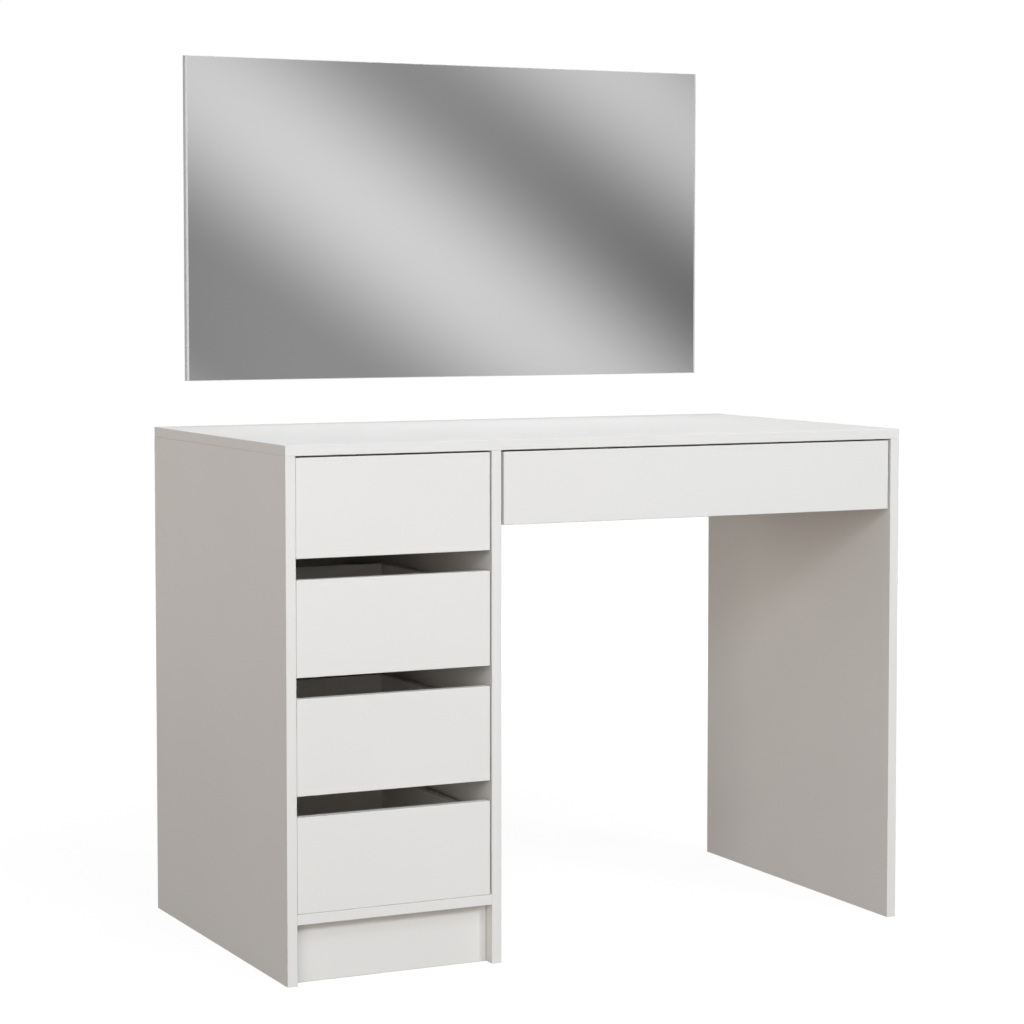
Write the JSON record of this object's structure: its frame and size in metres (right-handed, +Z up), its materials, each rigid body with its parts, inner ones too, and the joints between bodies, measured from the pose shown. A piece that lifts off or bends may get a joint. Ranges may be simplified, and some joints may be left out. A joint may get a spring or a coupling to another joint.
{
  "type": "dressing table",
  "caption": "White dressing table with a drawer pedestal on the left, a wide drawer over the kneehole and a frameless wall mirror above.",
  "frame": {"origin": "on the floor, under the middle of the table's plan", "axes": "+X to the right seen from the front, +Y to the back, +Z up; the drawers open towards -Y"},
  "size_m": [1, 0.55, 1.32],
  "materials": {
    "white_board": "white melamine-faced board with banded edges, fine matt grain",
    "drawer_board": "white foil-wrapped board, matt",
    "hardboard": "white lacquered hardboard",
    "runner_enamel": "white epoxy powder coat on bent steel strip",
    "roller_nylon": "natural moulded nylon",
    "cam_zinc": "die-cast zinc, tumbled",
    "bolt_steel": "bright zinc-plated steel",
    "dowel_beech": "fluted beech",
    "mirror_silver": "silvered float glass with narrow bevels at its two ends",
    "mirror_board": "white faced fibreboard"
  },
  "bodies": {
    "table": {"tabletop": "white_board", "left_side_panel": "white_board", "partition_panel": "white_board", "right_side_panel": "white_board", "pedestal_bottom_panel": "white_board", "plinth_board": "white_board", "kneehole_rear_rail": "white_board", "pedestal_back_panel": "hardboard", "cam_locks": "cam_zinc", "cam_bolts": "bolt_steel", "wood_dowels": "dowel_beech", "mirror_glass": "mirror_silver", "mirror_backing_board": "mirror_board", "mirror_hangers": "bolt_steel", "drawer_1_cabinet_runners": "runner_enamel", "drawer_2_cabinet_runners": "runner_enamel", "drawer_3_cabinet_runners": "runner_enamel", "drawer_4_cabinet_runners": "runner_enamel", "wide_drawer_cabinet_runners": "runner_enamel"},
    "drawer_1": {"drawer_1_front": "white_board", "drawer_1_left_side": "drawer_board", "drawer_1_right_side": "drawer_board", "drawer_1_back": "drawer_board", "drawer_1_bottom": "hardboard", "drawer_1_runners": "runner_enamel"},
    "drawer_1_front_rollers": {"drawer_1_front_rollers": "roller_nylon"},
    "drawer_1_rear_rollers": {"drawer_1_rear_rollers": "roller_nylon"},
    "drawer_2": {"drawer_2_front": "white_board", "drawer_2_left_side": "drawer_board", "drawer_2_right_side": "drawer_board", "drawer_2_back": "drawer_board", "drawer_2_bottom": "hardboard", "drawer_2_runners": "runner_enamel"},
    "drawer_2_front_rollers": {"drawer_2_front_rollers": "roller_nylon"},
    "drawer_2_rear_rollers": {"drawer_2_rear_rollers": "roller_nylon"},
    "drawer_3": {"drawer_3_front": "white_board", "drawer_3_left_side": "drawer_board", "drawer_3_right_side": "drawer_board", "drawer_3_back": "drawer_board", "drawer_3_bottom": "hardboard", "drawer_3_runners": "runner_enamel"},
    "drawer_3_front_rollers": {"drawer_3_front_rollers": "roller_nylon"},
    "drawer_3_rear_rollers": {"drawer_3_rear_rollers": "roller_nylon"},
    "drawer_4": {"drawer_4_front": "white_board", "drawer_4_left_side": "drawer_board", "drawer_4_right_side": "drawer_board", "drawer_4_back": "drawer_board", "drawer_4_bottom": "hardboard", "drawer_4_runners": "runner_enamel"},
    "drawer_4_front_rollers": {"drawer_4_front_rollers": "roller_nylon"},
    "drawer_4_rear_rollers": {"drawer_4_rear_rollers": "roller_nylon"},
    "wide_drawer": {"wide_drawer_front": "white_board", "wide_drawer_left_side": "drawer_board", "wide_drawer_right_side": "drawer_board", "wide_drawer_back": "drawer_board", "wide_drawer_bottom": "hardboard", "wide_drawer_runners": "runner_enamel"},
    "wide_drawer_front_rollers": {"wide_drawer_front_rollers": "roller_nylon"},
    "wide_drawer_rear_rollers": {"wide_drawer_rear_rollers": "roller_nylon"}
  },
  "joints": [
    {"name": "drawer_1_slide", "type": "slide", "parent": "table", "child": "drawer_1", "axis": [0, -1, 0], "range_m": [0, 0.235]},
    {"name": "drawer_1_front_rollers_turn", "type": "hinge", "parent": "table", "child": "drawer_1_front_rollers", "pos_m": [-0.336, -0.232, 0.61835], "axis": [1, 0, 0], "range_deg": [0, 1590]},
    {"name": "drawer_1_rear_rollers_turn", "type": "hinge", "parent": "drawer_1", "child": "drawer_1_rear_rollers", "pos_m": [-0.336, 0.0204, 0.61835], "axis": [1, 0, 0], "range_deg": [0, 1590]},
    {"name": "drawer_2_slide", "type": "slide", "parent": "table", "child": "drawer_2", "axis": [0, -1, 0], "range_m": [0, 0.235]},
    {"name": "drawer_2_front_rollers_turn", "type": "hinge", "parent": "table", "child": "drawer_2_front_rollers", "pos_m": [-0.336, -0.232, 0.45385], "axis": [1, 0, 0], "range_deg": [0, 1590]},
    {"name": "drawer_2_rear_rollers_turn", "type": "hinge", "parent": "drawer_2", "child": "drawer_2_rear_rollers", "pos_m": [-0.336, 0.0204, 0.45385], "axis": [1, 0, 0], "range_deg": [0, 1590]},
    {"name": "drawer_3_slide", "type": "slide", "parent": "table", "child": "drawer_3", "axis": [0, -1, 0], "range_m": [0, 0.235]},
    {"name": "drawer_3_front_rollers_turn", "type": "hinge", "parent": "table", "child": "drawer_3_front_rollers", "pos_m": [-0.336, -0.232, 0.28385], "axis": [1, 0, 0], "range_deg": [0, 1590]},
    {"name": "drawer_3_rear_rollers_turn", "type": "hinge", "parent": "drawer_3", "child": "drawer_3_rear_rollers", "pos_m": [-0.336, 0.0204, 0.28385], "axis": [1, 0, 0], "range_deg": [0, 1590]},
    {"name": "drawer_4_slide", "type": "slide", "parent": "table", "child": "drawer_4", "axis": [0, -1, 0], "range_m": [0, 0.235]},
    {"name": "drawer_4_front_rollers_turn", "type": "hinge", "parent": "table", "child": "drawer_4_front_rollers", "pos_m": [-0.336, -0.232, 0.13035], "axis": [1, 0, 0], "range_deg": [0, 1590]},
    {"name": "drawer_4_rear_rollers_turn", "type": "hinge", "parent": "drawer_4", "child": "drawer_4_rear_rollers", "pos_m": [-0.336, 0.0204, 0.13035], "axis": [1, 0, 0], "range_deg": [0, 1590]},
    {"name": "wide_drawer_slide", "type": "slide", "parent": "table", "child": "wide_drawer", "axis": [0, -1, 0], "range_m": [0, 0.235]},
    {"name": "wide_drawer_front_rollers_turn", "type": "hinge", "parent": "table", "child": "wide_drawer_front_rollers", "pos_m": [0.1565, -0.232, 0.65235], "axis": [1, 0, 0], "range_deg": [0, 1590]},
    {"name": "wide_drawer_rear_rollers_turn", "type": "hinge", "parent": "wide_drawer", "child": "wide_drawer_rear_rollers", "pos_m": [0.1565, 0.0204, 0.65235], "axis": [1, 0, 0], "range_deg": [0, 1590]}
  ],
  "couplings": [
    {"joint": "drawer_1_front_rollers_turn", "follows": "drawer_1_slide", "rad_per_m": 117.65},
    {"joint": "drawer_1_rear_rollers_turn", "follows": "drawer_1_slide", "rad_per_m": 117.65},
    {"joint": "drawer_2_front_rollers_turn", "follows": "drawer_2_slide", "rad_per_m": 117.65},
    {"joint": "drawer_2_rear_rollers_turn", "follows": "drawer_2_slide", "rad_per_m": 117.65},
    {"joint": "drawer_3_front_rollers_turn", "follows": "drawer_3_slide", "rad_per_m": 117.65},
    {"joint": "drawer_3_rear_rollers_turn", "follows": "drawer_3_slide", "rad_per_m": 117.65},
    {"joint": "drawer_4_front_rollers_turn", "follows": "drawer_4_slide", "rad_per_m": 117.65},
    {"joint": "drawer_4_rear_rollers_turn", "follows": "drawer_4_slide", "rad_per_m": 117.65},
    {"joint": "wide_drawer_front_rollers_turn", "follows": "wide_drawer_slide", "rad_per_m": 117.65},
    {"joint": "wide_drawer_rear_rollers_turn", "follows": "wide_drawer_slide", "rad_per_m": 117.65}
  ]
}
